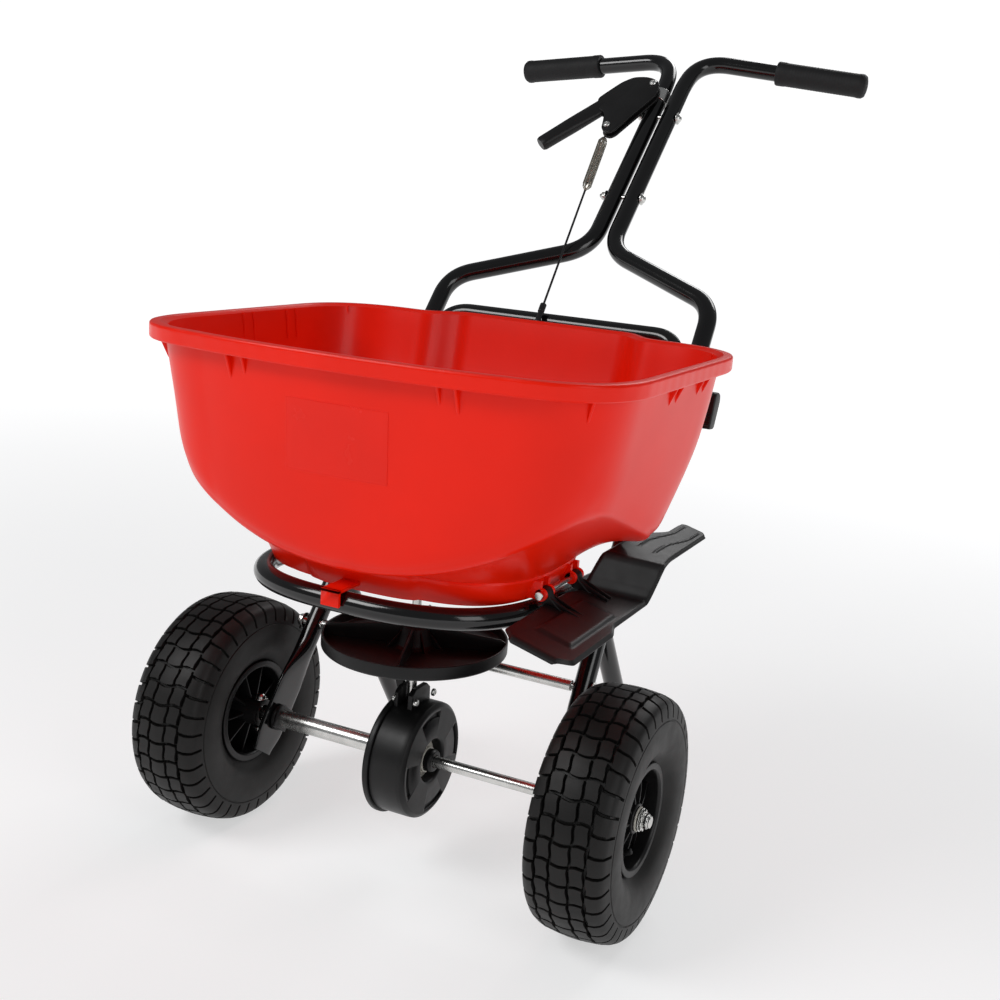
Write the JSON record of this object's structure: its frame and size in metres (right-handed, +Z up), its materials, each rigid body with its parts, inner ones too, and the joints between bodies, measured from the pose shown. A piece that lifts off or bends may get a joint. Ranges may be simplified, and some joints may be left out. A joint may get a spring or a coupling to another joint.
{
  "type": "walk-behind broadcast spreader",
  "caption": "Walk-behind broadcast spreader: open hopper on a bent-tube frame, axle-driven spinning plate, hand shut-off lever, side deflector and pneumatic tyres.",
  "frame": {"origin": "middle of the footprint's bounding box, on the floor", "axes": "+Z up; -Y is the front, the way it is pushed; +Y is the side of the person pushing; the axle runs along X"},
  "size_m": [0.569, 0.896, 0.9335],
  "materials": {
    "red_plastic": "glossy moulded red plastic",
    "gloss_black_tube": "gloss black powder coat",
    "black_plastic": "satin moulded black plastic",
    "rubber": "soft black rubber",
    "tyre_rubber": "dark pneumatic tyre rubber",
    "zinc": "bright zinc plating",
    "spring_steel": "drawn spring wire",
    "acetal": "natural white bearing plastic"
  },
  "bodies": {
    "frame": {"hopper": "red_plastic", "outlet_plate": "red_plastic", "frame_leg_right": "gloss_black_tube", "frame_leg_left": "gloss_black_tube", "frame_crossbar": "gloss_black_tube", "frame_hoop": "gloss_black_tube", "stand_leg_right": "gloss_black_tube", "stand_leg_left": "gloss_black_tube", "handle_tube_right": "gloss_black_tube", "handle_tube_left": "gloss_black_tube", "stand_foot_right": "rubber", "stand_foot_left": "rubber", "cross_rod": "zinc", "cross_rod_nut_right": "zinc", "cross_rod_nut_left": "zinc", "handle_bolt_upper": "zinc", "handle_bolt_lower": "zinc", "frame_bolt_lower_right": "zinc", "frame_bolt_lower_left": "zinc", "frame_bolt_upper_right": "zinc", "frame_bolt_upper_left": "zinc", "gearbox_screw_1": "zinc", "gearbox_screw_2": "zinc", "lever_bracket": "zinc", "deflector_pin": "zinc", "grip_right": "black_plastic", "grip_left": "black_plastic", "axle_bearing_left": "black_plastic", "axle_bearing_right": "black_plastic", "gearbox_housing": "black_plastic", "gearbox_cover": "black_plastic", "cable_sheath": "black_plastic", "shaft_bearing": "acetal"},
    "drive_axle": {"axle": "zinc", "drive_pin": "zinc", "axle_sleeve": "zinc", "axle_collar": "black_plastic", "drive_gear": "acetal", "hub_nut_left": "zinc", "hub_nut_right": "zinc", "tyre_left": "tyre_rubber", "wheel_rim_left": "black_plastic", "valve_stem_left": "rubber", "wheel_bush_left": "acetal"},
    "free_wheel": {"tyre_right": "tyre_rubber", "wheel_rim_right": "black_plastic", "valve_stem_right": "rubber", "wheel_bush_right": "acetal"},
    "impeller_unit": {"impeller": "black_plastic", "impeller_shaft": "zinc", "agitator": "spring_steel", "pinion_gear": "acetal"},
    "control_lever": {"control_lever": "black_plastic", "spring_pin": "zinc"},
    "control_line": {"control_spring": "spring_steel", "control_cable": "black_plastic"},
    "gate": {"shutoff_gate": "zinc", "gate_cable": "black_plastic"},
    "side_deflector": {"side_deflector": "black_plastic"},
    "rate_lever": {"rate_lever": "black_plastic"}
  },
  "joints": [
    {"name": "drive_axle_spin", "type": "hinge", "parent": "frame", "child": "drive_axle", "pos_m": [0, -0.26195, 0.13], "axis": [1, 0, 0], "continuous": true},
    {"name": "free_wheel_spin", "type": "hinge", "parent": "frame", "child": "free_wheel", "pos_m": [0.239, -0.26195, 0.13], "axis": [1, 0, 0], "continuous": true},
    {"name": "impeller_spin", "type": "hinge", "parent": "frame", "child": "impeller_unit", "pos_m": [0, -0.26195, 0.256], "axis": [0, 0, 1], "continuous": true},
    {"name": "lever_pivot", "type": "hinge", "parent": "frame", "child": "control_lever", "pos_m": [-0.018, 0.34845, 0.8847], "axis": [0, 0.7071, -0.7071], "range_deg": [0, 22]},
    {"name": "line_pivot", "type": "hinge", "parent": "control_lever", "child": "control_line", "pos_m": [-0.056, 0.28764, 0.82389], "axis": [0, 0.7071, -0.7071], "range_deg": [-28, 2]},
    {"name": "gate_slide", "type": "slide", "parent": "frame", "child": "gate", "axis": [0, 1, 0], "range_m": [0, 0.0252]},
    {"name": "deflector_hinge", "type": "hinge", "parent": "frame", "child": "side_deflector", "pos_m": [0.162, -0.26195, 0.358], "axis": [0, 1, 0], "range_deg": [0, 30]},
    {"name": "rate_lever_pivot", "type": "hinge", "parent": "frame", "child": "rate_lever", "pos_m": [0.196, 0.01505, 0.519], "axis": [1, 0, 0], "range_deg": [-20, 20]}
  ],
  "couplings": [
    {"joint": "impeller_spin", "follows": "drive_axle_spin", "ratio": -3},
    {"joint": "line_pivot", "follows": "lever_pivot", "ratio": -1.2011},
    {"joint": "gate_slide", "follows": "lever_pivot", "m_per_rad": 0.06375}
  ]
}
